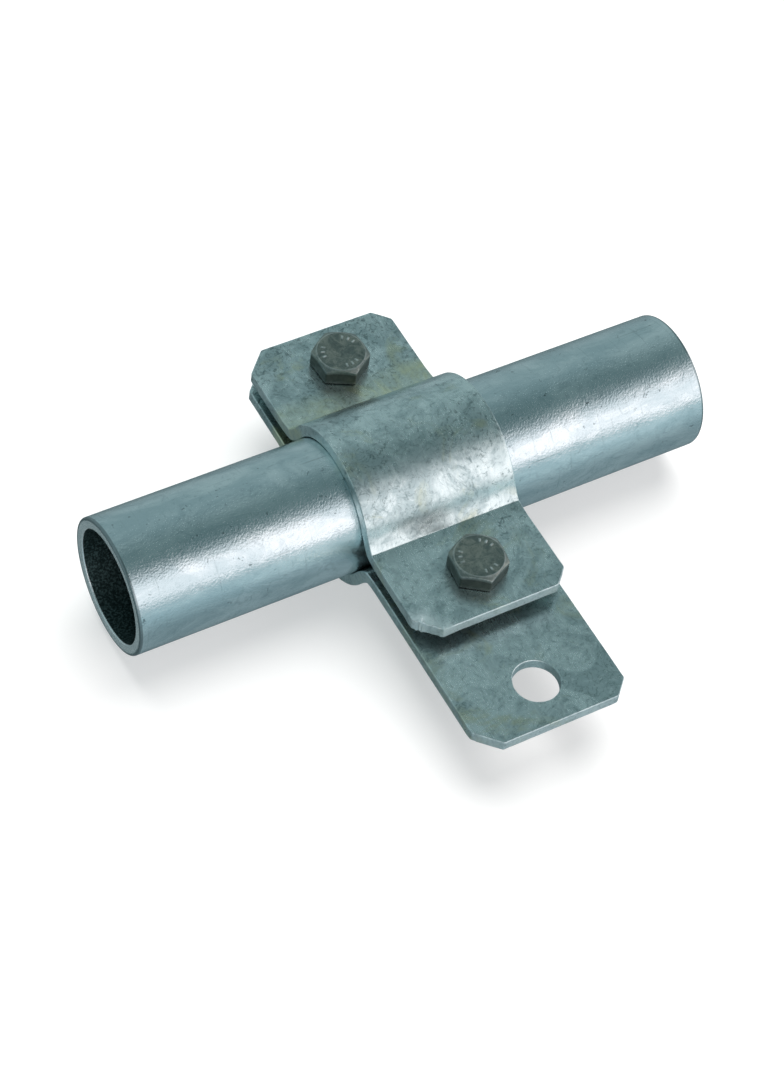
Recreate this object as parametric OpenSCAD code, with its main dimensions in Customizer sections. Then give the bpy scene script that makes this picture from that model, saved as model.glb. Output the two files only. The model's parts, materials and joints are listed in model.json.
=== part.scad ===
// Two-strap scaffold tube clamp with a fixing lug, bolted round a short tube.
// Origin: on the tube's axis, halfway across the straps.
// +X along the tube, +Y towards the short rear ears, +Z up through the bolt heads.

/* [Tube] */
// Outer diameter of the scaffold tube
tube_d = 48.3; // [42.4:0.1:60.3]
// Wall thickness of the tube
tube_wall = 4; // [3.2:0.1:5]
// Length of tube on the -X side of the origin
tube_left = 110; // [60:0.5:300]
// Length of tube on the +X side of the origin
tube_right = 107.5; // [60:0.5:300]
// Rounding chamfer round the outer edge of each tube end
tube_edge = 0.8; // [0.2:0.1:1.5]
// Chamfer round the mouth of the bore at each tube end
bore_edge = 0.5; // [0.2:0.1:1]

/* [Straps] */
// Width of both straps, along the tube
strap_w = 57; // [50:0.5:70]
// Thickness of both straps
strap_t = 4.4; // [4:0.1:6]
// Radial gap between the tube and each saddle
saddle_gap = 0.15; // [0.1:0.05:0.3]
// Gap between the ears of the two straps
ear_gap = 5.2; // [4:0.1:8]
// Radius on the hollow side of the bend between saddle and ear
bend_r = 6; // [3:0.5:8]
// Reach of the three short ears from the tube's axis
short_ear = 65; // [62:0.5:75]
// Reach of the long ear with the lug from the tube's axis
long_ear = 106.5; // [100:0.5:130]
// 45 degree corner cuts on the -X side
corner_left = 8; // [3:0.5:10]
// 45 degree corner cuts on the +X side
corner_right = 5.5; // [3:0.5:10]

/* [Holes] */
// Sideways offset of the row of holes from the straps' middle, towards +X
hole_x = 1.2; // [-2:0.1:2]
// Diameter of the bolt holes in the straps
bolt_hole_d = 13.5; // [13:0.1:14.5]
// Diameter of the fixing hole in the long ear
lug_hole_d = 16; // [12:0.5:18]
// Distance of the fixing hole from the tube's axis
lug_hole_y = 90; // [85:0.5:92]

/* [Bolts] */
// Distance of both bolts from the tube's axis
bolt_y = 48; // [47:0.5:50]
// Thread's outer diameter on the M12 bolts
bolt_d = 11.9; // [11.8:0.05:11.95]
// Length of the bolt under its head
bolt_len = 30; // [30:5:45]
// Width across the flats of the heads and nuts
hex_af = 18; // [17:0.5:19]
// Height of the bolt heads
head_h = 7.5; // [7:0.1:8]
// Thickness of the raised washer face under each head
head_face_h = 0.4; // [0.2:0.1:0.6]
// Diameter of the raised washer face under each head
head_face_d = 16.6; // [16:0.1:17.5]
// Turn of the front bolt's head, in degrees
front_head_turn = 25; // [0:1:59]
// Turn of the rear bolt's head, in degrees
rear_head_turn = 33; // [0:1:59]

/* [Nuts and washers] */
// Height of the nuts
nut_h = 10.8; // [10:0.1:11]
// Diameter of the nuts' bore
nut_bore_d = 12; // [11.95:0.01:12.05]
// Turn of the front nut, in degrees
front_nut_turn = 10; // [0:1:59]
// Turn of the rear nut, in degrees
rear_nut_turn = 41; // [0:1:59]
// Outer diameter of the flat washers
washer_d = 24; // [22:0.5:26]
// Diameter of the washers' hole
washer_hole_d = 13; // [12.5:0.1:13.5]
// Thickness of the flat washers
washer_t = 2.5; // [2:0.1:3]

/* [Hidden] */

$fn = 96;
tube_r = tube_d / 2;
saddle_r = tube_r + saddle_gap;            // inner radius of both saddles
saddle_out_r = saddle_r + strap_t;         // outer radius of both saddles
ear_in = ear_gap / 2;                      // height of the ears' inner faces
ear_out = ear_in + strap_t;                // height of the ears' outer faces
bend_z = ear_out + bend_r;                 // height of the bends' centres
bend_y = sqrt(pow(saddle_out_r + bend_r, 2) - pow(bend_z, 2));
far = 2 * long_ear;                        // longer than any profile
cut = 1;                                   // how far a cutter runs past a face
crossing = 0.01;                           // makes the bends' arcs cross their neighbours
hex_r = hex_af / 2 / cos(30);              // corner radius of heads and nuts
hex_crown_r = 0.95 * hex_af / 2;           // radius of the flat left by the corner chamfer
thread_point = 1.2;                        // chamfer at the bolt's point
nut_mouth = 0.6;                           // countersink at both ends of the nuts
washer_edge = 0.3;                         // chamfer round the washers' rims
zinc = [0.66, 0.71, 0.72];
bright_zinc = [0.72, 0.78, 0.79];
dull_steel = [0.42, 0.42, 0.38];

// Everything below one face of the upper strap, with the strap's width along Z:
// the saddle's disc, the slab under the ears, and the filled corner at each bend
module below_face(width, arc_r, ear_height, corner_r, front_reach, rear_reach) {
    cylinder(h = width, r = arc_r, center = true);
    translate([-front_reach, -far, -width / 2])
        cube([front_reach + rear_reach, far + ear_height, width]);
    for (side = [0, 1])
        mirror([side, 0, 0])
            difference() {
                linear_extrude(width, center = true)
                    polygon([[0, 0], [bend_y, bend_z], [bend_y, 0]]);
                translate([bend_y, bend_z])
                    cylinder(h = width + cut, r = corner_r + crossing, center = true);
            }
}

// Bar bent to a saddle with an ear on each side, its width along Z
module bent_bar(front_reach, rear_reach) {
    difference() {
        below_face(strap_w, saddle_out_r, ear_out, bend_r, front_reach, rear_reach);
        below_face(strap_w + cut, saddle_r, ear_in, bend_r + strap_t,
                   front_reach + cut, rear_reach + cut);
    }
}

// Plan outline of a strap with its four cut corners
module strap_outline(front_reach, rear_reach) {
    half = strap_w / 2;
    polygon([
        [-half, corner_left - front_reach], [corner_left - half, -front_reach],
        [half - corner_right, -front_reach], [half, corner_right - front_reach],
        [half, rear_reach - corner_right], [half - corner_right, rear_reach],
        [corner_left - half, rear_reach], [-half, rear_reach - corner_left],
    ]);
}

// A whole strap, ears below the saddle, with its two bolt holes
module strap(front_reach, rear_reach) {
    difference() {
        intersection() {
            rotate([90, 0, 90]) bent_bar(front_reach, rear_reach);
            linear_extrude(saddle_out_r + cut)
                strap_outline(front_reach, rear_reach);
        }
        for (side = [-1, 1])
            translate([hole_x, side * bolt_y, 0])
                cylinder(h = ear_out + cut, d = bolt_hole_d);
    }
}

// Hexagonal prism from z = 0, its corners cut back by a 30 degree cone at one or both ends
module hex_block(height, both_ends) {
    slope = tan(30);
    wide = hex_r + cut;
    drop = (wide - hex_crown_r) * slope;
    intersection() {
        cylinder(h = height, r = hex_r, $fn = 6);
        union() {
            translate([0, 0, height - drop])
                cylinder(h = drop, r1 = wide, r2 = hex_crown_r);
            translate([0, 0, both_ends ? drop : 0])
                cylinder(h = height - (both_ends ? 2 : 1) * drop, r = wide);
            if (both_ends)
                cylinder(h = drop, r1 = hex_crown_r, r2 = wide);
        }
    }
}

// Hexagon-head bolt with z = 0 under its head, its shank pointing down
module bolt(turn) {
    color(dull_steel) {
        cylinder(h = head_face_h, d = head_face_d);
        translate([0, 0, head_face_h])
            rotate(turn) hex_block(head_h - head_face_h, false);
        translate([0, 0, thread_point - bolt_len])
            cylinder(h = bolt_len - thread_point, d = bolt_d);
        translate([0, 0, -bolt_len])
            cylinder(h = thread_point, d1 = bolt_d - 2 * thread_point, d2 = bolt_d);
    }
}

// Hexagon nut with its upper face at z = 0
module nut(turn) {
    color(dull_steel)
        translate([0, 0, -nut_h])
            difference() {
                rotate(turn) hex_block(nut_h, true);
                translate([0, 0, -cut]) cylinder(h = nut_h + 2 * cut, d = nut_bore_d);
                for (end = [0, 1])
                    translate([0, 0, end * nut_h]) mirror([0, 0, end])
                        translate([0, 0, -cut])
                            cylinder(h = nut_mouth + cut,
                                     r1 = nut_bore_d / 2 + nut_mouth + cut,
                                     r2 = nut_bore_d / 2);
            }
}

// Flat washer with its upper face at z = 0
module washer() {
    color(zinc)
        translate([0, 0, -washer_t])
            rotate_extrude()
                polygon([
                    [washer_hole_d / 2, 0], [washer_d / 2 - washer_edge, 0],
                    [washer_d / 2, washer_edge], [washer_d / 2, washer_t - washer_edge],
                    [washer_d / 2 - washer_edge, washer_t], [washer_hole_d / 2, washer_t],
                ]);
}

module lower_clamp_plate() {
    color(zinc)
        difference() {
            mirror([0, 0, 1]) strap(long_ear, short_ear);
            translate([hole_x, -lug_hole_y, -ear_out - cut])
                cylinder(h = ear_out + cut, d = lug_hole_d);
        }
}

module upper_clamp_plate() {
    color(zinc) strap(short_ear, short_ear);
}

// Tube along X, made by turning half of its section round its axis
module scaffold_tube() {
    length = tube_left + tube_right;
    bore_r = tube_r - tube_wall;
    color(bright_zinc)
        translate([-tube_left, 0, 0]) rotate([0, 90, 0])
            rotate_extrude()
                polygon([
                    [bore_r, bore_edge], [bore_r + bore_edge, 0],
                    [tube_r - tube_edge, 0], [tube_r, tube_edge],
                    [tube_r, length - tube_edge], [tube_r - tube_edge, length],
                    [bore_r + bore_edge, length], [bore_r, length - bore_edge],
                ]);
}

module front_bolt() translate([hole_x, -bolt_y, ear_out]) bolt(front_head_turn);
module rear_bolt() translate([hole_x, bolt_y, ear_out]) bolt(rear_head_turn);
module front_washer() translate([hole_x, -bolt_y, -ear_out]) washer();
module rear_washer() translate([hole_x, bolt_y, -ear_out]) washer();
module front_nut() translate([hole_x, -bolt_y, -ear_out - washer_t]) nut(front_nut_turn);
module rear_nut() translate([hole_x, bolt_y, -ear_out - washer_t]) nut(rear_nut_turn);

lower_clamp_plate();
upper_clamp_plate();
scaffold_tube();
front_bolt();
rear_bolt();
front_washer();
rear_washer();
front_nut();
rear_nut();
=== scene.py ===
import json
import math

import bpy
import numpy as np
from mathutils import Matrix, Vector, noise
from mathutils.geometry import delaunay_2d_cdt


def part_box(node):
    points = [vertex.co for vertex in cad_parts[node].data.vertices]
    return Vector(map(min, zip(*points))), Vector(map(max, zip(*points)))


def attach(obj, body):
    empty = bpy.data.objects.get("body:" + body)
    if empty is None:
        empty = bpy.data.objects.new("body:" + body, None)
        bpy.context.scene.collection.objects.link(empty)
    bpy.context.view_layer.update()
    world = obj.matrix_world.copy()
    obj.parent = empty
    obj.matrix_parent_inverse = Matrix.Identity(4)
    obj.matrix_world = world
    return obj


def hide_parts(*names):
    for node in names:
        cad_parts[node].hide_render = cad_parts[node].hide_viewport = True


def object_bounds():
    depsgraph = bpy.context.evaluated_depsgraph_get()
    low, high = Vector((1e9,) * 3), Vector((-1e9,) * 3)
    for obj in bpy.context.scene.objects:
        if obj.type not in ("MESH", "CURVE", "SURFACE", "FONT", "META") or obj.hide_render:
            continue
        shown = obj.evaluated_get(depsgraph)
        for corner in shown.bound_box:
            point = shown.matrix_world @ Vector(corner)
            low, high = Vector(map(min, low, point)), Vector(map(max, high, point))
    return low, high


# Looks for the two-strap tube clamp: every CAD node is replaced by a finer mesh of the same size.
# Lengths are in metres. Front is -Y, the side of the lug; the bolt heads point up, to +Z.

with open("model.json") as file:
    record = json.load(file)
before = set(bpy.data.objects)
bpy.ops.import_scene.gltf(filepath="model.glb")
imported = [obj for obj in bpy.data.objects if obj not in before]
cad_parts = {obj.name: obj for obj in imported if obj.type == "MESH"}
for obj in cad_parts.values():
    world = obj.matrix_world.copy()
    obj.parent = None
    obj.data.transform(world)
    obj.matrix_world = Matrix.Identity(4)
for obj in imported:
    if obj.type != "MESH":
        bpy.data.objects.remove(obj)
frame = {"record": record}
cad_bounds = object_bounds()

MM = 0.001

# ---------------------------------------------------------------- sizes from the CAD frame

tube_low, tube_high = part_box("scaffold_tube")
upper_low, upper_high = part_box("upper_clamp_plate")
lower_low, lower_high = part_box("lower_clamp_plate")
mounts = {mount["name"]: mount for mount in frame["record"]["mounts"]}

TUBE_R = tube_high.z
BORE_R = mounts["tube_bore"]["dims"]["r_mm"] * MM
STRAP_T = mounts["lug_hole"]["dims"]["length_mm"] * MM
STRAP_HALF_W = upper_high.x
EAR_IN = upper_low.z                       # height of the upper ears' inner faces
EAR_OUT = EAR_IN + STRAP_T                 # height of the upper ears' outer faces
SADDLE_OUT_R = upper_high.z
CUT_LEFT = 8.0 * MM                        # 45 degree corner cuts on the -X side
CUT_RIGHT = 5.5 * MM                       # and on the +X side
BOLT_HOLE_R = 6.75 * MM
LUG_HOLE_R = mounts["lug_hole"]["dims"]["r_mm"] * MM
LUG_HOLE = mounts["lug_hole"]["pos_m"]

# ---------------------------------------------------------------- camera, light and floor

CAMERA_AIM = (cad_bounds[0] + cad_bounds[1]) / 2 + Vector((-7.55, 8.66, -11.49)) * MM
CAMERA_DISTANCE = 1002.3 * MM
CAMERA_HEADING = math.radians(53.11)       # way it looks, from +X towards +Y
CAMERA_PITCH = math.radians(52.47)         # below the horizon
CAMERA_ROLL = math.radians(9.97)
CAMERA_LENS = 99.64                        # on the default 36 mm sensor

WINDOW_HEADING = Vector((0.417, -0.909))   # the wide soft window stands in front, to the right
WINDOW = (1.50, 1.37, 1.40)
CEILING_EDGE, CEILING_TOP = (0.36, 0.44, 0.455), (0.118, 0.188, 0.195)
BACK_WALL = (0.31, 0.405, 0.42)
TABLE_EDGE_DIM, TABLE_EDGE_LIT = (0.34, 0.43, 0.45), (0.60, 0.75, 0.80)
TABLE_DIM, TABLE_LIT = (0.13, 0.18, 0.19), (0.24, 0.315, 0.34)
LAMP_PLACE, LAMP_SIZE, LAMP_POWER = (0.5, 0.7, 2.2), 2.6, 75.0
FLOOR_COLOUR = (0.60, 0.59, 0.58, 1.0)
FLOOR_GLOW = 0.42
FLOOR_SIZE = 14.0


def add_camera():
    """The camera looks down on the clamp from its front left, tilted a little."""
    forward = Vector((math.cos(CAMERA_HEADING) * math.cos(CAMERA_PITCH),
                      math.sin(CAMERA_HEADING) * math.cos(CAMERA_PITCH),
                      -math.sin(CAMERA_PITCH)))
    level_right = forward.cross(Vector((0, 0, 1))).normalized()
    level_up = level_right.cross(forward)
    right = math.cos(CAMERA_ROLL) * level_right + math.sin(CAMERA_ROLL) * level_up
    up = right.cross(forward)
    turn = Matrix((right, up, -forward)).transposed().to_4x4()
    data = bpy.data.cameras.new("camera")
    data.lens = CAMERA_LENS
    data.clip_start = 0.01
    camera = bpy.data.objects.new("camera", data)
    bpy.context.scene.collection.objects.link(camera)
    camera.matrix_world = Matrix.Translation(CAMERA_AIM - forward * CAMERA_DISTANCE) @ turn
    bpy.context.scene.camera = camera


class Nodes:
    """Short calls for building one node tree."""

    def __init__(self, owner):
        owner.use_nodes = True
        self.owner = owner
        self.tree = owner.node_tree
        self.tree.nodes.clear()

    def add(self, kind, inputs=None, **settings):
        node = self.tree.nodes.new(kind)
        for key, value in settings.items():
            setattr(node, key, value)
        for key, value in (inputs or {}).items():
            self.put(node.inputs[key], value)
        return node

    def put(self, socket, value):
        if isinstance(value, bpy.types.NodeSocket):
            self.tree.links.new(value, socket)
        else:
            socket.default_value = value

    def math(self, operation, a, b=0.0, clamp=False):
        node = self.add("ShaderNodeMath", {0: a, 1: b}, operation=operation, use_clamp=clamp)
        return node.outputs[0]

    def times(self, a, b):
        return self.math("MULTIPLY", a, b)

    def plus(self, a, b):
        return self.math("ADD", a, b)

    def step(self, value, low, high, to_low=0.0, to_high=1.0):
        """Smooth change from to_low at low to to_high at high."""
        node = self.add("ShaderNodeMapRange", {"Value": value, "From Min": low, "From Max": high,
                                               "To Min": to_low, "To Max": to_high},
                        interpolation_type="SMOOTHSTEP")
        return node.outputs["Result"]

    def mix(self, share, a, b, blend="MIX"):
        node = self.add("ShaderNodeMix", data_type="RGBA", blend_type=blend)
        self.put(node.inputs[0], share)
        for socket, value in ((node.inputs[6], a), (node.inputs[7], b)):
            self.put(socket, value if isinstance(value, bpy.types.NodeSocket) else (*value, 1.0))
        return node.outputs[2]

    def place(self, stretch=(1, 1, 1), shift=(0, 0, 0)):
        """Object coordinates, which are the resting place in the row frame."""
        where = self.add("ShaderNodeTexCoord").outputs["Object"]
        node = self.add("ShaderNodeMapping", {"Vector": where, "Scale": stretch, "Location": shift})
        return node.outputs[0]

    def noise(self, where, per_metre, detail=4.0, rough=0.55, warp=0.0):
        node = self.add("ShaderNodeTexNoise", {"Vector": where, "Scale": per_metre, "Detail": detail,
                                               "Roughness": rough, "Distortion": warp})
        return node.outputs["Fac"]

    def attribute(self, name):
        return self.add("ShaderNodeAttribute", attribute_name=name).outputs["Fac"]


def add_world():
    """A studio as a smooth gradient: dim ceiling, bright soft window in front, darkening table below."""
    world = bpy.data.worlds.new("studio")
    bpy.context.scene.world = world
    n = Nodes(world)
    direction = n.add("ShaderNodeTexCoord").outputs["Generated"]
    parts = n.add("ShaderNodeSeparateXYZ", {"Vector": direction})
    x, y, height = parts.outputs
    towards = n.plus(n.times(x, WINDOW_HEADING.x), n.times(y, WINDOW_HEADING.y))
    ceiling = n.mix(n.step(height, 0.15, 0.75), CEILING_EDGE, CEILING_TOP)
    behind = n.mix(n.step(towards, 0.12, -0.50), ceiling, BACK_WALL)
    lower_edge = n.step(height, 0.05, 0.20)
    upper_fade = n.step(height, 0.88, 0.60)
    side_fade = n.step(towards, 0.15, 0.60)
    window = n.times(n.times(lower_edge, upper_fade), side_fade)
    lit = n.mix(window, behind, WINDOW)
    near_table = n.mix(n.step(towards, -0.3, 0.3), TABLE_EDGE_DIM, TABLE_EDGE_LIT)
    far_table = n.mix(n.step(towards, -0.3, 0.3), TABLE_DIM, TABLE_LIT)
    table = n.mix(n.step(height, 0.05, -0.80), near_table, far_table)
    colour = n.mix(n.step(height, 0.05, 0.0), lit, table)
    background = n.add("ShaderNodeBackground", {"Color": colour, "Strength": 1.0})
    output = n.add("ShaderNodeOutputWorld")
    n.put(output.inputs["Surface"], background.outputs[0])


def add_lamp(name, place, size, power):
    """A large soft lamp that lights the floor and the dull parts, without a reflection of its own."""
    data = bpy.data.lights.new(name, "AREA")
    data.shape = "DISK"
    data.size = size
    data.energy = power
    lamp = bpy.data.objects.new(name, data)
    bpy.context.scene.collection.objects.link(lamp)
    lamp.location = place
    lamp.rotation_euler = (-Vector(place)).to_track_quat("-Z", "Y").to_euler()
    lamp.visible_camera = False
    lamp.visible_glossy = False


def add_floor():
    """A plain pale floor under the clamp's lowest point, glowing a little like a light table."""
    half = FLOOR_SIZE / 2
    z = lower_low.z
    mesh = bpy.data.meshes.new("floor")
    mesh.from_pydata([(-half, -half, z), (half, -half, z), (half, half, z), (-half, half, z)],
                     [], [(0, 1, 2, 3)])
    floor = bpy.data.objects.new("floor", mesh)
    bpy.context.scene.collection.objects.link(floor)
    n = Nodes(bpy.data.materials.new("pale floor"))
    shader = n.add("ShaderNodeBsdfPrincipled", {"Base Color": FLOOR_COLOUR, "Roughness": 0.9,
                                                "Specular IOR Level": 0.0,
                                                "Emission Color": (1.0, 1.0, 1.0, 1.0),
                                                "Emission Strength": FLOOR_GLOW})
    n.put(n.add("ShaderNodeOutputMaterial").inputs["Surface"], shader.outputs[0])
    mesh.materials.append(n.owner)
    floor.visible_glossy = False


# ---------------------------------------------------------------- meshes

def wobble(point, per_metre, seed=0.0):
    """Smooth noise between about -1 and 1 at a point."""
    return noise.noise(Vector(point) * per_metre + Vector((seed, seed * 1.7, -seed)))


def finish_piece(name, shape, material, body, sharp_angle=38.0):
    """Makes one closed mesh piece, which replaces the CAD node of its name."""
    points, faces, attributes = shape
    mesh = bpy.data.meshes.new(name)
    mesh.from_pydata([tuple(p) for p in points], [], faces)
    for key, values in attributes.items():
        layer = mesh.attributes.new(key, "FLOAT", "POINT")
        layer.data.foreach_set("value", np.asarray(values, np.float32))
    mesh.polygons.foreach_set("use_smooth", [True] * len(mesh.polygons))
    mesh.update()
    mesh.set_sharp_from_angle(angle=math.radians(sharp_angle))
    mesh.materials.append(material)
    piece = bpy.data.objects.new(name + "_look", mesh)
    bpy.context.scene.collection.objects.link(piece)
    normals = piece.modifiers.new("even shading", "WEIGHTED_NORMAL")
    normals.keep_sharp = True
    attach(piece, body)
    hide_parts(name)
    return piece


def arc(radius, steps):
    """A rounded edge's quarter circle, from (radius, 0) to (0, radius), as (how far in, how far down)."""
    turns = [math.pi / 2 * i / steps for i in range(steps + 1)]
    return [(radius * (1 - math.sin(a)), radius * (1 - math.cos(a))) for a in turns]


# ---- straps

SADDLE_MID_R = SADDLE_OUT_R - STRAP_T / 2
EAR_MID = EAR_IN + STRAP_T / 2
LEAVES_TUBE = math.radians(62)             # lean of the strap's normal where it leaves the tube
CREASE_FROM, CREASE_TO = math.radians(47), math.radians(12)
CREASE_R = 3.0 * MM                        # the bend is tightest in a crease, and eases off into the ear
EASE_R = 33.0 * MM
# the sweep between saddle and crease has the radius that brings the strap down to its ears
SWEEP_DROP = (SADDLE_MID_R * math.cos(LEAVES_TUBE) - EAR_MID
              + CREASE_R * (math.cos(CREASE_FROM) - math.cos(CREASE_TO))
              + EASE_R * (math.cos(CREASE_TO) - 1))
SWEEP_R = SWEEP_DROP / (math.cos(CREASE_FROM) - math.cos(LEAVES_TUBE))
# each stretch from the saddle's top to an ear: signed radius, lean at its two ends, mesh steps
STRETCHES = ((SADDLE_MID_R, 0.0, LEAVES_TUBE, 26), (-SWEEP_R, LEAVES_TUBE, CREASE_FROM, 8),
             (-CREASE_R, CREASE_FROM, CREASE_TO, 8), (-EASE_R, CREASE_TO, 0.0, 6))
LENGTHS = [radius * (end - start) for radius, start, end, _ in STRETCHES]
SADDLE_LENGTH = LENGTHS[0]
FLAT_START = sum(LENGTHS)                  # from the saddle's top to the flat of an ear
FLAT_Y = sum(radius * (math.sin(end) - math.sin(start)) for radius, start, end, _ in STRETCHES)
EDGE_ROUND = 0.45 * MM                     # rounding of the sheared edges
CORNER_ROUND = 1.3 * MM                    # rounding of the outline's corners
GRID = 2.4 * MM                            # mesh steps on the flats
COLUMNS = 25                               # mesh points across the strip
OFF_CORNERS, OFF_ENDS, OFF_HOLES = 2.2 * MM, 1.4 * MM, 1.3 * MM   # their room beside the rims
SLIVER = 1e-9                              # area of the flat triangles between points on a straight edge
RAGGED = 0.09 * MM                         # how far the sheared edges waver
WAVY, UNEVEN = 0.05 * MM, 0.02 * MM        # coarse and fine hollows in the faces
LUMP_FULL = 0.5 * MM                       # a lump this high shows bright bare zinc
BEND_FADE = 5.0 * MM                       # how far the rear bend's olive stain runs on
END_RIM, SIDE_RIM, HOLE_RIM = 1.0, 0.2, 0.12   # brightness of sheared ends, rolled sides and holes


def along(y):
    """Length along the strap's middle line, from the saddle's top to a place y on the flat of an ear."""
    return math.copysign(FLAT_START + abs(y) - FLAT_Y, y)


def bent(x, u, w):
    """A point of the flat strip, w above its middle, once the strip is bent over the tube."""
    left, y, z, lean = abs(u), 0.0, SADDLE_MID_R, 0.0
    for (radius, start, end, _), length in zip(STRETCHES, LENGTHS):
        lean = start + min(left, length) / radius
        y += radius * (math.sin(lean) - math.sin(start))
        z += radius * (math.cos(lean) - math.cos(start))
        left -= length
        if left <= 0:
            break
    y += max(left, 0.0) + w * math.sin(lean)
    return x, math.copysign(y, u), z + w * math.cos(lean)


def grid_lines(u_front, u_rear):
    """Places of the mesh lines across the strip: close together where it is bent."""
    lines, reached = [0.0], 0.0
    for (_, _, _, steps), length in zip(STRETCHES, LENGTHS):
        lines += [reached + length * (i + 1) / steps for i in range(steps)]
        reached += length
    rear = lines + list(np.arange(FLAT_START + GRID, u_rear - GRID / 2, GRID))
    front = lines + list(np.arange(FLAT_START + GRID, -u_front - GRID / 2, GRID))
    return sorted([-u for u in front[1:]] + rear)


def outline_loop(u_front, u_rear, lines):
    """The strip's outline, set in by the edge rounding: points with their mitred outward directions."""
    half = STRAP_HALF_W
    corners = [(-half, u_front + CUT_LEFT), (CUT_LEFT - half, u_front), (half - CUT_RIGHT, u_front),
               (half, u_front + CUT_RIGHT), (half, u_rear - CUT_RIGHT), (half - CUT_RIGHT, u_rear),
               (CUT_LEFT - half, u_rear), (-half, u_rear - CUT_LEFT)]
    loop = []
    for i, corner in enumerate(corners):
        before, here, after = (Vector(corners[j % 8]) for j in (i - 1, i, i + 1))
        out_before = Vector(((here - before).y, -(here - before).x)).normalized()
        out_after = Vector(((after - here).y, -(after - here).x)).normalized()
        mitre = (out_before + out_after) / (1 + out_before.dot(out_after))
        for share in (0.0, 0.33, 0.67, 1.0):
            way = out_before.slerp(out_after, share)
            loop.append((here - mitre * CORNER_ROUND + way * (CORNER_ROUND - EDGE_ROUND), way))
        if abs(out_after.x) > 0.99:
            stops = [u for u in lines if min(here.y, after.y) + MM < u < max(here.y, after.y) - MM]
            shares = sorted((u - here.y) / (after.y - here.y) for u in stops)
        else:
            span = (after - here).length
            count = max(2, round(span / (GRID / 4)))
            shares = [(MM + (span - 2 * MM) * k / count) / span for k in range(count + 1)]
        loop += [(here.lerp(after, share) - out_after * EDGE_ROUND, out_after) for share in shares]
    return loop


def hole_loop(centre, radius, count=72):
    """A round hole's edge, set back by the edge rounding, with directions into the hole."""
    loop = []
    for i in range(count):
        way = Vector((math.cos(2 * math.pi * i / count), math.sin(2 * math.pi * i / count)))
        loop.append((centre + way * (radius + EDGE_ROUND), -way))
    return loop[::-1]


def flat_plan(loops, holes, lines, u_front, u_rear):
    """Triangles over the flat strip, clear of its holes, with the point numbers along each loop."""
    flat = [p for loop in loops for p, _ in loop]
    starts = [int(start) for start in np.cumsum([0] + [len(loop) for loop in loops])]
    edges = [(starts[k] + i, starts[k] + (i + 1) % len(loop))
             for k, loop in enumerate(loops) for i in range(len(loop))]
    side = STRAP_HALF_W - EDGE_ROUND - MM
    for u in lines:
        for x in np.linspace(-side, side, COLUMNS):
            to_end = min(u_rear - u, u - u_front)
            to_corner = to_end + STRAP_HALF_W - abs(x) - (CUT_LEFT if x < 0 else CUT_RIGHT)
            to_hole = min((Vector((x, u)) - centre).length - radius for centre, radius in holes)
            if to_corner > OFF_CORNERS and to_end > OFF_ENDS and to_hole > OFF_HOLES:
                flat.append(Vector((x, u)))
    plan, _, triangles, sources = delaunay_2d_cdt(flat, edges, [], 0, 1e-9)[:4]
    number = {source: i for i, found in enumerate(sources) for source in found}
    kept = []
    for a, b, c in triangles:
        middle = (plan[a] + plan[b] + plan[c]) / 3
        area = abs((plan[b] - plan[a]).cross(plan[c] - plan[a])) / 2
        if area > SLIVER and all((middle - centre).length > r + EDGE_ROUND for centre, r in holes):
            kept.append((a, b, c))
    along_loops = [[number[starts[k] + i] for i in range(len(loop))] for k, loop in enumerate(loops)]
    return plan, kept, along_loops


def grown(lumps, x, u, w, seed):
    """How far crumbly zinc stands out at a place of the flat strip; less than 0 where it is chipped."""
    total = 0.0
    for (lump_x, lump_u), reach, height in lumps:
        near = max(0.0, 1 - math.hypot(x - lump_x, u - lump_u) / reach)
        total += height * near ** 0.7 * (0.3 + 1.5 * abs(wobble((x, u, w), 1400, seed + 3)))
    return total


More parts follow.
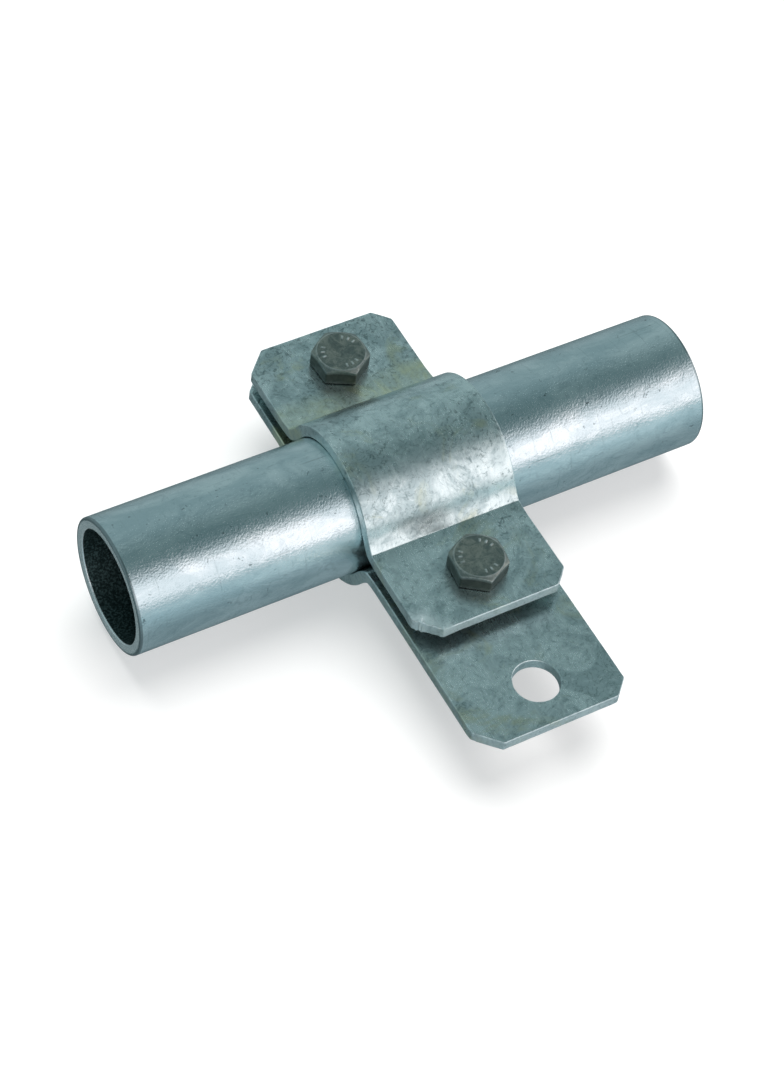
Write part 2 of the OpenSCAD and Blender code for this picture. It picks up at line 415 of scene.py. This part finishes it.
def strap_mesh(front_reach, rear_reach, holes, flip, seed, lumps=()):
    """A punched strip with rounded sheared edges, bent over the tube: points, faces and attributes."""
    u_front, u_rear = along(-front_reach), along(rear_reach)
    lines = grid_lines(u_front, u_rear)
    loops = [outline_loop(u_front, u_rear, lines)]
    loops += [hole_loop(centre, radius) for centre, radius in holes]
    plan, triangles, tops = flat_plan(loops, holes, lines, u_front, u_rear)

    half_t = STRAP_T / 2
    points = [(p.x, p.y, w) for w in (half_t, -half_t) for p in plan]
    rim = [0.0] * len(points)
    faces = list(triangles)
    faces += [tuple(i + len(plan) for i in reversed(triangle)) for triangle in triangles]
    section = [(inset, half_t - drop) for inset, drop in arc(EDGE_ROUND, 3)]
    section += [(0.0, 0.0)] + [(inset, -w) for inset, w in reversed(section)]
    for k, (loop, top) in enumerate(zip(loops, tops)):
        rings = [top]
        for inset, w in section[1:-1]:
            rings.append(list(range(len(points), len(points) + len(loop))))
            for p, way in loop:
                ragged = RAGGED * (1 + wobble((p.x, p.y, w * 2), 420, seed)) * (1 - abs(w) / STRAP_T)
                place = p + way * (EDGE_ROUND - inset - ragged + grown(lumps, p.x, p.y, w, seed))
                x = min(max(place.x, -STRAP_HALF_W), STRAP_HALF_W)
                points.append((x, min(max(place.y, u_front), u_rear), w))
                rim.append(HOLE_RIM if k else SIDE_RIM + (END_RIM - SIDE_RIM) * way.y ** 2)
        rings.append([i + len(plan) for i in top])
        for above, below in zip(rings, rings[1:]):
            for i in range(len(loop)):
                j = (i + 1) % len(loop)
                faces.append((above[i], below[i], below[j], above[j]))

    used = sorted({i for face in faces for i in face})
    order = {old: new for new, old in enumerate(used)}
    faces = [tuple(order[i] for i in face) for face in faces]
    placed, edge, bend = [], [], []
    for i in used:
        x, u, w = points[i]
        lump = grown(lumps, x, u, w, seed)
        dent = WAVY * (wobble((x, u, 0), 90, seed) - 0.6) + UNEVEN * (wobble((x, u, 0), 330, seed) - 0.6)
        dent += 0.6 * lump
        place = bent(x, u, w + math.copysign(1, w) * dent if w else w)
        placed.append((place[0], place[1], -place[2] if flip else place[2]))
        edge.append(max(rim[i], min(1.0, lump / LUMP_FULL)))
        off = max(SADDLE_LENGTH - abs(u), abs(u) - FLAT_START, 0.0)
        bend.append(max(0.0, 1 - off / BEND_FADE) if u > 0 else 0.0)
    if flip:
        faces = [tuple(reversed(face)) for face in faces]
    return placed, faces, {"rim": edge, "bend": bend}


# ---- turned and hexagonal pieces

TUBE_POINTS, WASHER_POINTS = 192, 96       # points round the tube and round a washer


def ring_faces(rings, size, closed):
    """Quads between rings of equal size; a closed list joins its last ring to its first."""
    faces = []
    pairs = list(zip(rings, rings[1:])) + ([(rings[-1], rings[0])] if closed else [])
    for above, below in pairs:
        for i in range(size):
            j = (i + 1) % size
            faces.append((above + i, below + i, below + j, above + j))
    return faces


def tube_mesh():
    """The cut tube: outer wall, rounded lips, saw-cut end faces and bore."""
    edge, mouth, blend = 0.8 * MM, 0.5 * MM, 0.3 * MM
    x0, x1 = tube_low.x, tube_high.x
    outer = [(x0 + inset, TUBE_R - drop, 0.0, 0.0, 1.0) for inset, drop in reversed(arc(edge, 5))]
    outer += [(x, TUBE_R, 0.0, 0.0, 0.0) for x in np.linspace(x0 + edge + blend, x1 - edge - blend, 90)]
    outer += [(x1 - inset, TUBE_R - drop, 0.0, 0.0, 1.0) for inset, drop in arc(edge, 5)]
    right_face = [(x1, r, 0.0, 1.0, 0.0) for r in np.linspace(TUBE_R - edge, BORE_R + mouth, 7)[1:-1]]
    right_lip = [(x1 - inset, BORE_R + drop, 0.0, 1.0, 0.0) for inset, drop in reversed(arc(mouth, 3))]
    bore = [(x, BORE_R, 1.0, 0.0, 0.0) for x in np.linspace(x1 - mouth - blend, x0 + mouth + blend, 60)]
    left_lip = [(x0 + inset, BORE_R + drop, 0.0, 1.0, 0.0) for inset, drop in arc(mouth, 3)]
    left_face = [(x0, r, 0.0, 1.0, 0.0) for r in np.linspace(BORE_R + mouth, TUBE_R - edge, 7)[1:-1]]
    profile = outer + right_face + right_lip + bore + left_lip + left_face
    # the last list marks the rounded outer lips, which the material darkens with painted shade
    points, inside, rim, lip_shade = [], [], [], []
    for x, r, hollow, cut, rounded in profile:
        for i in range(TUBE_POINTS):
            turn = 2 * math.pi * i / TUBE_POINTS
            y, z = math.sin(turn), math.cos(turn)
            end = math.copysign(1.0, x)
            sawn = 0.07 * MM * (1 + wobble((y, z, end), 2.3))
            sawn += 0.03 * MM * (1 + wobble((y, z, r * 900), 16))
            spot = (x, y * r, z * r)
            uneven = 0.035 * MM * (wobble(spot, 55) - 0.7)
            if hollow:
                uneven = 0.10 * MM * wobble(spot, 160)
            points.append((x - end * cut * sawn, y * (r + uneven), z * (r + uneven)))
            inside.append(hollow)
            rim.append(cut)
            lip_shade.append(rounded)
    rings = [k * TUBE_POINTS for k in range(len(profile))]
    return points, ring_faces(rings, TUBE_POINTS, True), {"inside": inside, "rim": rim, "lip_shade": lip_shade}


HEX_HALF = 9.0 * MM                        # half the width across the flats
HEX_CORNER_ROUND = 0.35 * MM
HEX_CROWN_R = 0.95 * HEX_HALF
PITCH = 1.75 * MM
THREAD_R = 5.93 * MM
MARK_R = 6.35 * MM                         # middle of the raised strokes on a head
THREAD_DEPTH = 1.07 * MM
TURNED = 168                               # points round a bolt or nut


def hex_angles(turn):
    """Angles round a hexagon whose corner is at turn, closer together near the corners."""
    steps = TURNED // 6
    angles = []
    for corner in range(6):
        for i in range(steps):
            t = 2 * (i / steps) - 1
            angles.append(turn + math.radians(60 * corner + 30 * math.copysign(abs(t) ** 1.5, t)))
    return angles


def hex_radius(angle, turn, size=HEX_HALF):
    """Radius of a hexagon with slightly rounded corners, the corner being at turn."""
    off = (angle - turn + math.pi / 6) % (math.pi / 3) - math.pi / 6
    sharp = size / math.cos(math.pi / 6 - abs(off))
    limit = size / math.cos(math.pi / 6) - HEX_CORNER_ROUND * 0.4
    return min(sharp, limit - 0.15 * MM * (off / 0.06) ** 2) if abs(off) < 0.06 else sharp


def cone_drop(radius):
    """How far the 30 degree corner chamfer has dropped at a radius."""
    return max(0.0, radius - HEX_CROWN_R) * math.tan(math.radians(30))


def thread_groove(z, angle):
    """Depth of a right-hand M12 thread's groove below its crest."""
    phase = (z / PITCH - angle / (2 * math.pi)) % 1.0
    valley = 1 - abs(2 * phase - 1)
    return THREAD_DEPTH * min(1.0, max(0.0, (valley - 0.10) / 0.74))


def head_mark(x, y):
    """Height share of a head's plain raised strokes: three groups of three, with no lettering."""
    r, angle = math.hypot(x, y), math.atan2(y, x)
    best = 0.0
    for group in range(3):
        for stroke in (-1, 0, 1):
            middle = math.radians(120 * group + 19 * stroke + 40)
            off = (angle - middle + math.pi) % (2 * math.pi) - math.pi
            across = abs(r * math.sin(off))
            length = abs(r * math.cos(off) - MARK_R)
            bar = min(1.0, max(0.0, (0.42 * MM - across) / (0.2 * MM)))
            bar *= min(1.0, max(0.0, (0.85 * MM - length) / (0.3 * MM)))
            best = max(best, bar)
    return best


def bolt_mesh(node, turn):
    """Forged hexagon-head bolt: dished head with raised strokes, washer face, thread and point."""
    low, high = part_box(node)
    cx, cy = (low.x + high.x) / 2, (low.y + high.y) / 2
    top, bottom, seat = high.z, low.z, EAR_OUT
    mark_h, dish_h, face_h, face_r = 0.22 * MM, 0.28 * MM, 0.4 * MM, 8.3 * MM
    angles = hex_angles(turn)
    points, wear_and_glint, painted_shade = [], [], []

    def ring(radius, height, wear_glint=0.0, shade_share=0.0):
        for a in angles:
            r = radius(a) if callable(radius) else radius
            z = height(a, r) if callable(height) else height
            points.append((cx + r * math.cos(a), cy + r * math.sin(a), z))
            wear_and_glint.append(wear_glint(a) if callable(wear_glint) else wear_glint)
            on_thread = z < seat and r < THREAD_R + MM
            # painted shade: darker in the thread's grooves and, by the last argument, on the head's sides
            # and under the head
            painted_shade.append(thread_groove(z, a) / THREAD_DEPTH if on_thread else shade_share)

    def crown(a, r):
        dish = dish_h * max(0.0, 1 - (r / (4.6 * MM)) ** 2)
        rough = 0.05 * MM * wobble((r * math.cos(a), r * math.sin(a), turn), 700, turn)
        return top - mark_h * (1 - head_mark(r * math.cos(a), r * math.sin(a))) - dish - abs(rough)

    # the raised strokes get the lighter wear colour, which also stands in for painted glints on them
    for r in np.linspace(0.5 * MM, HEX_CROWN_R - 0.35 * MM, 34):
        ring(float(r), crown, lambda a, r=float(r): head_mark(r * math.cos(a), r * math.sin(a)))
    for inset, drop in ((0.15, 0.03), (0.0, 0.09)):
        ring(HEX_CROWN_R - inset * MM, top - mark_h - drop * MM, 0.5)

    def flank(share, edge_in=0.0):
        return lambda a: HEX_CROWN_R + (hex_radius(a, turn) - HEX_CROWN_R - edge_in) * share

    def cone(a, r):
        return top - mark_h - 0.09 * MM - cone_drop(r)

    for share in (0.35, 0.7, 0.93):
        ring(flank(share), cone, 0.1)
    ring(flank(1.0, 0.02 * MM), lambda a, r: cone(a, r) - 0.05 * MM, 0.6)
    # from here down, the last argument sets painted shade on the head's sides and on the washer face
    # under the head
    ring(lambda a: hex_radius(a, turn), lambda a, r: min(cone(a, r) - 0.22 * MM, top), 0.5, 0.3)
    for share in (0.25, 0.5, 0.75):
        low_z = seat + face_h + 0.25 * MM
        ring(lambda a: hex_radius(a, turn), lambda a, r, share=share: (
            (cone(a, r) - 0.22 * MM) * (1 - share) + low_z * share), 0.0, 0.85)
    ring(lambda a: hex_radius(a, turn), seat + face_h + 0.25 * MM, 0.1, 0.7)
    ring(lambda a: hex_radius(a, turn) - 0.2 * MM, seat + face_h, 0.3, 0.6)
    ring(face_r, seat + face_h, 0.0, 1.0)
    ring(face_r, seat + 0.1 * MM, 0.0, 1.0)
    ring(face_r - 0.1 * MM, seat)
    ring(THREAD_R + 0.4 * MM, seat)
    ring(THREAD_R, seat - 0.4 * MM)
    thread_start, point_h = seat - 1.6 * MM, 1.3 * MM
    rows = int((thread_start - bottom) / PITCH * 13)
    for k in range(rows + 1):
        z = thread_start + (bottom - thread_start) * k / rows
        fade = min(1.0, k / 10) * min(1.0, (z - bottom) / (0.5 * MM) + 0.25)
        limit = THREAD_R - max(0.0, bottom + point_h - z)
        ring(lambda a, z=z, fade=fade, limit=limit: (
            min(limit, THREAD_R - fade * thread_groove(z, a))), z)
    ring((THREAD_R - point_h) * 0.6, bottom + 0.02 * MM)
    ring((THREAD_R - point_h) * 0.25, bottom + 0.03 * MM)

    count = len(points) // TURNED
    rings = [k * TURNED for k in range(count)]
    faces = ring_faces(rings, TURNED, False)
    caps = ((0, top - mark_h - dish_h, False), (rings[-1], bottom + 0.03 * MM, True))
    for first, z, backwards in caps:
        points.append((cx, cy, z))
        wear_and_glint.append(0.0)
        painted_shade.append(0.0)
        for i in range(TURNED):
            face = (len(points) - 1, first + i, first + (i + 1) % TURNED)
            faces.append(tuple(reversed(face)) if backwards else face)
    return points, faces, {"wear_and_glint": wear_and_glint, "painted_shade": painted_shade}


def nut_mesh(node, turn):
    """Hexagon nut with both faces chamfered and a thread that matches the bolt's."""
    low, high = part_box(node)
    cx, cy = (low.x + high.x) / 2, (low.y + high.y) / 2
    top, bottom = high.z, low.z
    middle = (top + bottom) / 2
    mouth, clearance, root = 0.6 * MM, 0.06 * MM, 5.08 * MM
    angles = hex_angles(turn)
    points, wear_and_glint, painted_shade = [], [], []

    def ring(radius, height, wear_glint=0.0, thread_shade=0.0):
        for a in angles:
            r = radius(a) if callable(radius) else radius
            z = height(a, r) if callable(height) else height
            points.append((cx + r * math.cos(a), cy + r * math.sin(a), z))
            wear_and_glint.append(wear_glint)
            painted_shade.append(thread_shade)

    def face_rings(end):
        """Rings from the bore's mouth out to the hexagon's rim on one face; end is 1 for the top."""
        edge = middle + end * (top - middle)
        found = [(THREAD_R + mouth + clearance, edge, 0.3), (7.6 * MM, edge, 0.0),
                 (HEX_CROWN_R, edge, 0.4)]
        for share in (0.35, 0.7, 0.95):
            found.append((lambda a, s=share: HEX_CROWN_R + (hex_radius(a, turn) - HEX_CROWN_R) * s,
                          lambda a, r: edge - end * cone_drop(r), 0.2))
        found.append((lambda a: hex_radius(a, turn),
                      lambda a, r: edge - end * (cone_drop(r) + 0.2 * MM), 0.8))
        return found

    for radius, height, wear_glint in face_rings(1):
        ring(radius, height, wear_glint)
    for share in (0.25, 0.5, 0.75):
        ring(lambda a: hex_radius(a, turn), top + (bottom - top) * (0.12 + 0.76 * share), 0.1)
    for radius, height, wear_glint in reversed(face_rings(-1)):
        ring(radius, height, wear_glint)
    rows = int((top - bottom) / PITCH * 13)
    for k in range(1, rows):
        z = bottom + (top - bottom) * k / rows
        sunk = THREAD_R + clearance + mouth - min(z - bottom, top - z)
        # painted shade fills the nut's threaded bore
        ring(lambda a, z=z, sunk=sunk: (
            max(root, THREAD_R + clearance - thread_groove(z, a), sunk)), z, 0.0, 1.0)
    rings = [k * TURNED for k in range(len(points) // TURNED)]
    return points, ring_faces(rings, TURNED, True), {"wear_and_glint": wear_and_glint, "painted_shade": painted_shade}


def washer_mesh(node):
    """Punched flat washer: one edge rolled over, the other sharper."""
    low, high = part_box(node)
    cx, cy = (low.x + high.x) / 2, (low.y + high.y) / 2
    radius, hole = (high.x - low.x) / 2, 6.5 * MM
    rolled, crisp = 0.45 * MM, 0.15 * MM
    inner_top = [(hole + drop, high.z - inset, 1.0) for inset, drop in arc(crisp, 2)]
    outer_top = [(radius - drop, high.z - inset, 1.0) for inset, drop in reversed(arc(crisp, 2))]
    outer_low = [(radius - drop, low.z + inset, 1.0) for inset, drop in arc(rolled, 4)]
    inner_low = [(hole + drop, low.z + inset, 1.0) for inset, drop in reversed(arc(crisp, 2))]
    face = [hole + (radius - hole) * share for share in (0.25, 0.5, 0.75)]
    profile = inner_top + [(r, high.z, 0.0) for r in face] + outer_top
    profile += outer_low + [(r, low.z, 0.0) for r in reversed(face)] + inner_low
    points, rim = [], []
    for r, z, edge in profile:
        for i in range(WASHER_POINTS):
            a = 2 * math.pi * i / WASHER_POINTS
            points.append((cx + r * math.cos(a), cy + r * math.sin(a), z))
            rim.append(edge)
    rings = [k * WASHER_POINTS for k in range(len(profile))]
    return points, ring_faces(rings, WASHER_POINTS, True), {"rim": rim}


# ---------------------------------------------------------------- materials

def finish_material(n, colour, roughness, bump, metallic):
    """Joins the parts of a metal to one Principled shader."""
    shader = n.add("ShaderNodeBsdfPrincipled", {"Base Color": colour, "Roughness": roughness,
                                                "Metallic": metallic, "Normal": bump})
    n.put(n.add("ShaderNodeOutputMaterial").inputs["Surface"], shader.outputs[0])
    return n.owner


def bump_layers(n, layers):
    """Stacks (height, strength, depth in metres) layers into one normal."""
    normal = None
    for height, strength, depth in layers:
        inputs = {"Height": height, "Strength": strength, "Distance": depth}
        if normal is not None:
            inputs["Normal"] = normal
        normal = n.add("ShaderNodeBump", inputs).outputs["Normal"]
    return normal


def plate_material(name, shift, speckling):
    """Hot-dip galvanised plate: mottled grey-green with olive stains, specks, swirls and bright edges."""
    n = Nodes(bpy.data.materials.new(name))
    place = n.place(shift=shift)
    cloud = n.noise(place, 62, detail=8, rough=0.70, warp=1.1)
    mottle = n.noise(place, 240, detail=6, rough=0.72, warp=1.8)
    spots = n.noise(place, 620, detail=3, rough=0.62, warp=0.8)
    stain = n.noise(n.place(shift=(0.3, shift[1], 0.1)), 36, detail=5, rough=0.62, warp=1.4)
    swirl = n.noise(n.place(shift=(shift[1], 0.2, 0.4)), 105, detail=4, rough=0.55, warp=3.0)
    grit = n.noise(place, 950, detail=2, rough=0.6)
    relief = n.noise(place, 120, detail=2, rough=0.5, warp=1.0)
    drawn = n.noise(n.place(stretch=(1, 0.10, 0.10), shift=shift), 1150, detail=1, rough=0.5)
    rim, bend = n.attribute("rim"), n.attribute("bend")

    colour = n.mix(n.step(cloud, 0.38, 0.62), (0.42, 0.54, 0.55), (0.66, 0.79, 0.79))
    colour = n.mix(n.step(mottle, 0.52, 0.66, 0.0, 0.66), colour, (0.25, 0.345, 0.355))
    colour = n.mix(n.step(mottle, 0.46, 0.32, 0.0, 0.62), colour, (0.74, 0.86, 0.855))
    colour = n.mix(n.step(stain, 0.53, 0.68, 0.0, 0.62), colour, (0.53, 0.575, 0.40))
    outline = n.step(n.math("ABSOLUTE", n.plus(swirl, -0.5)), 0.020, 0.003)
    patches = n.step(cloud, 0.55, 0.42)
    colour = n.mix(n.times(n.times(outline, patches), 0.62), colour, (0.16, 0.225, 0.23))
    rearward = n.add("ShaderNodeSeparateXYZ", {"Vector": n.place()}).outputs["Y"]
    clusters = n.noise(n.place(shift=(0.1, 0.5, shift[2])), 48, detail=3, rough=0.6)
    clusters = n.step(n.plus(clusters, n.times(rearward, 2.0)), *speckling)
    speckled = n.times(n.step(spots, 0.555, 0.66), clusters)
    colour = n.mix(n.times(speckled, 0.66), colour, (0.12, 0.17, 0.17))
    blots = n.times(n.step(mottle, 0.56, 0.65), clusters)
    colour = n.mix(n.times(blots, 0.55), colour, (0.14, 0.20, 0.21))
    colour = n.mix(n.times(bend, n.step(stain, 0.40, 0.56, 0.25, 0.85)), colour, (0.70, 0.75, 0.53))
    colour = n.mix(n.times(n.step(drawn, 0.52, 0.74), 0.20), colour, (0.30, 0.38, 0.40))
    colour = n.mix(n.times(rim, n.step(grit, 0.36, 0.60, 0.15, 0.75)), colour, (0.63, 0.74, 0.76))

    roughness = n.plus(n.step(cloud, 0.3, 0.7, 0.27, 0.19), n.times(drawn, 0.12))
    roughness = n.plus(roughness, n.times(rim, 0.15))
    metallic = n.math("SUBTRACT", 0.96, n.times(rim, 0.20))
    normal = bump_layers(n, [(relief, 0.8, 0.15 * MM), (drawn, 1.0, 0.016 * MM),
                             (speckled, 0.3, 0.015 * MM), (n.times(rim, grit), 0.5, 0.03 * MM)])
    return finish_material(n, colour, roughness, normal, metallic)


def tube_material():
    """Bright galvanised tube: crisp grain, faint rings and scuffs, dark specks, painted shade on the
    rounded lips and in the rough bore.
    """
    n = Nodes(bpy.data.materials.new("galvanised tube"))
    place = n.place()
    cloud = n.noise(n.place(stretch=(0.45, 1, 1)), 75, detail=7, rough=0.68, warp=0.5)
    mottle = n.noise(place, 230, detail=5, rough=0.68, warp=1.3)
    grain = n.noise(place, 1350, detail=2, rough=0.6)
    relief = n.noise(n.place(stretch=(0.5, 1, 1)), 130, detail=2, rough=0.5, warp=0.5)
    spots = n.noise(place, 430, detail=3, rough=0.6, warp=0.6)
    rings = n.noise(n.place(stretch=(1, 0.05, 0.05)), 900, detail=3, rough=0.6)
    scratch = n.noise(n.place(stretch=(0.05, 1, 1), shift=(0, 0.2, 0)), 420, detail=2, rough=0.5)
    inside, rim, lip_shade = n.attribute("inside"), n.attribute("rim"), n.attribute("lip_shade")

    colour = n.mix(n.step(cloud, 0.36, 0.64), (0.50, 0.63, 0.66), (0.71, 0.82, 0.84))
    colour = n.mix(n.step(mottle, 0.52, 0.70, 0.0, 0.42), colour, (0.36, 0.47, 0.50))
    colour = n.mix(n.step(rings, 0.60, 0.74, 0.0, 0.36), colour, (0.33, 0.43, 0.45))
    colour = n.mix(n.step(scratch, 0.70, 0.76, 0.0, 0.40), colour, (0.20, 0.27, 0.28))
    speckled = n.times(n.step(spots, 0.66, 0.70), n.step(cloud, 0.56, 0.42))
    colour = n.mix(n.times(speckled, 0.75), colour, (0.12, 0.17, 0.18))
    colour = n.mix(n.times(rim, n.step(grain, 0.35, 0.6, 0.2, 0.75)), colour, (0.74, 0.82, 0.83))
    # painted shade: the rounded outer lips at the tube's ends are darkened into a dark outline
    colour = n.mix(n.times(lip_shade, 0.75), colour, (0.17, 0.22, 0.23))
    # The bore's colour is partly a duller, rougher inner zinc and partly painted shade deep inside the
    # tube.
    bore = n.mix(n.step(grain, 0.42, 0.68), (0.035, 0.065, 0.065), (0.17, 0.27, 0.27))
    colour = n.mix(inside, colour, bore)

    roughness = n.plus(n.step(cloud, 0.3, 0.7, 0.21, 0.15), n.times(rings, 0.08))
    roughness = n.plus(roughness, n.times(inside, 0.35))
    metallic = n.math("SUBTRACT", 0.98, n.times(rim, 0.20))
    normal = bump_layers(n, [(relief, 0.8, 0.12 * MM), (rings, 0.5, 0.02 * MM),
                             (grain, 1.0, 0.10 * MM)])
    return finish_material(n, colour, roughness, normal, metallic)


def steel_material():
    """Dull dark forged steel for bolts and nuts: brownish patches, raised edges lightened by wear and
    painted glints, painted shade on the head sides, under the heads and in the threads.
    """
    n = Nodes(bpy.data.materials.new("dull bolt steel"))
    place = n.place()
    cloud = n.noise(place, 260, detail=6, rough=0.65, warp=0.8)
    grit = n.noise(place, 1300, detail=3, rough=0.7)
    wear_and_glint, painted_shade = n.attribute("wear_and_glint"), n.attribute("painted_shade")
    colour = n.mix(n.step(cloud, 0.36, 0.64), (0.125, 0.165, 0.155), (0.26, 0.295, 0.26))
    colour = n.mix(n.step(grit, 0.50, 0.72, 0.0, 0.6), colour, (0.07, 0.09, 0.085))
    # painted shade: the head's sides, the washer face under the head and the thread grooves are darkened
    colour = n.mix(n.times(painted_shade, 0.88), colour, (0.055, 0.066, 0.058))
    # raised strokes and edges are lightened: partly real wear, partly painted glints on the strokes and
    # edges
    colour = n.mix(n.times(wear_and_glint, n.step(grit, 0.35, 0.6, 0.40, 0.95)), colour, (0.62, 0.70, 0.69))
    roughness = n.plus(n.step(cloud, 0.3, 0.7, 0.36, 0.26), n.times(grit, 0.15))
    normal = bump_layers(n, [(cloud, 0.5, 0.09 * MM), (grit, 0.7, 0.04 * MM)])
    return finish_material(n, colour, roughness, normal, 0.9)


def washer_material():
    """Satin zinc plating with fine turning marks and rubbed edges."""
    n = Nodes(bpy.data.materials.new("zinc washer"))
    place = n.place()
    cloud = n.noise(place, 160, detail=5, rough=0.6, warp=0.4)
    grit = n.noise(place, 1700, detail=3, rough=0.7)
    rim = n.attribute("rim")
    colour = n.mix(n.step(cloud, 0.35, 0.68), (0.44, 0.50, 0.50), (0.60, 0.65, 0.64))
    colour = n.mix(n.times(rim, 0.5), colour, (0.74, 0.78, 0.78))
    roughness = n.plus(n.step(cloud, 0.3, 0.7, 0.40, 0.30), n.times(grit, 0.1))
    normal = bump_layers(n, [(cloud, 0.4, 0.05 * MM), (grit, 0.5, 0.02 * MM)])
    return finish_material(n, colour, roughness, normal, 1.0)


# ---------------------------------------------------------------- build

bpy.context.scene.view_settings.view_transform = "Standard"
add_camera()
add_world()
add_lamp("soft top lamp", LAMP_PLACE, LAMP_SIZE, LAMP_POWER)
add_floor()

bolt_centres = {}
for side in ("front", "rear"):
    bolt_low, bolt_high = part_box(side + "_bolt")
    bolt_centres[side] = (bolt_low + bolt_high) / 2
bolt_holes = [(Vector((centre.x, along(centre.y))), BOLT_HOLE_R) for centre in bolt_centres.values()]
lug_hole = (Vector((LUG_HOLE[0], along(LUG_HOLE[1]))), LUG_HOLE_R)

upper_corner = Vector((-STRAP_HALF_W, along(upper_low.y)))
drips = (((upper_corner.x + 2 * MM, upper_corner.y + 6 * MM), 6 * MM, 0.70 * MM),
         ((upper_corner.x + 8 * MM, upper_corner.y), 5 * MM, 0.45 * MM))
upper_strap = strap_mesh(-upper_low.y, upper_high.y, bolt_holes, False, 4.0, drips)
upper_zinc = plate_material("galvanised upper plate", (0.11, 0.02, 0.05), (0.46, 0.62))
finish_piece("upper_clamp_plate", upper_strap, upper_zinc, "upper_plate")

lower_corner = Vector((-STRAP_HALF_W, along(lower_low.y) + CUT_LEFT))
chips = ((lower_corner, 2.2 * MM, -0.4 * MM),)
lower_strap = strap_mesh(-lower_low.y, lower_high.y, bolt_holes + [lug_hole], True, 9.0, chips)
lower_zinc = plate_material("galvanised lower plate", (0.52, 0.33, 0.21), (0.42, 0.62))
finish_piece("lower_clamp_plate", lower_strap, lower_zinc, "lower_plate")

finish_piece("scaffold_tube", tube_mesh(), tube_material(), "tube")

steel, zinc = steel_material(), washer_material()
for side, head_turn, nut_turn in (("front", 25, 10), ("rear", 33, 41)):
    bolt, nut, washer = side + "_bolt", side + "_nut", side + "_washer"
    finish_piece(bolt, bolt_mesh(bolt, math.radians(head_turn)), steel, bolt, 30.0)
    finish_piece(nut, nut_mesh(nut, math.radians(nut_turn)), steel, nut, 30.0)
    finish_piece(washer, washer_mesh(washer), zinc, washer)
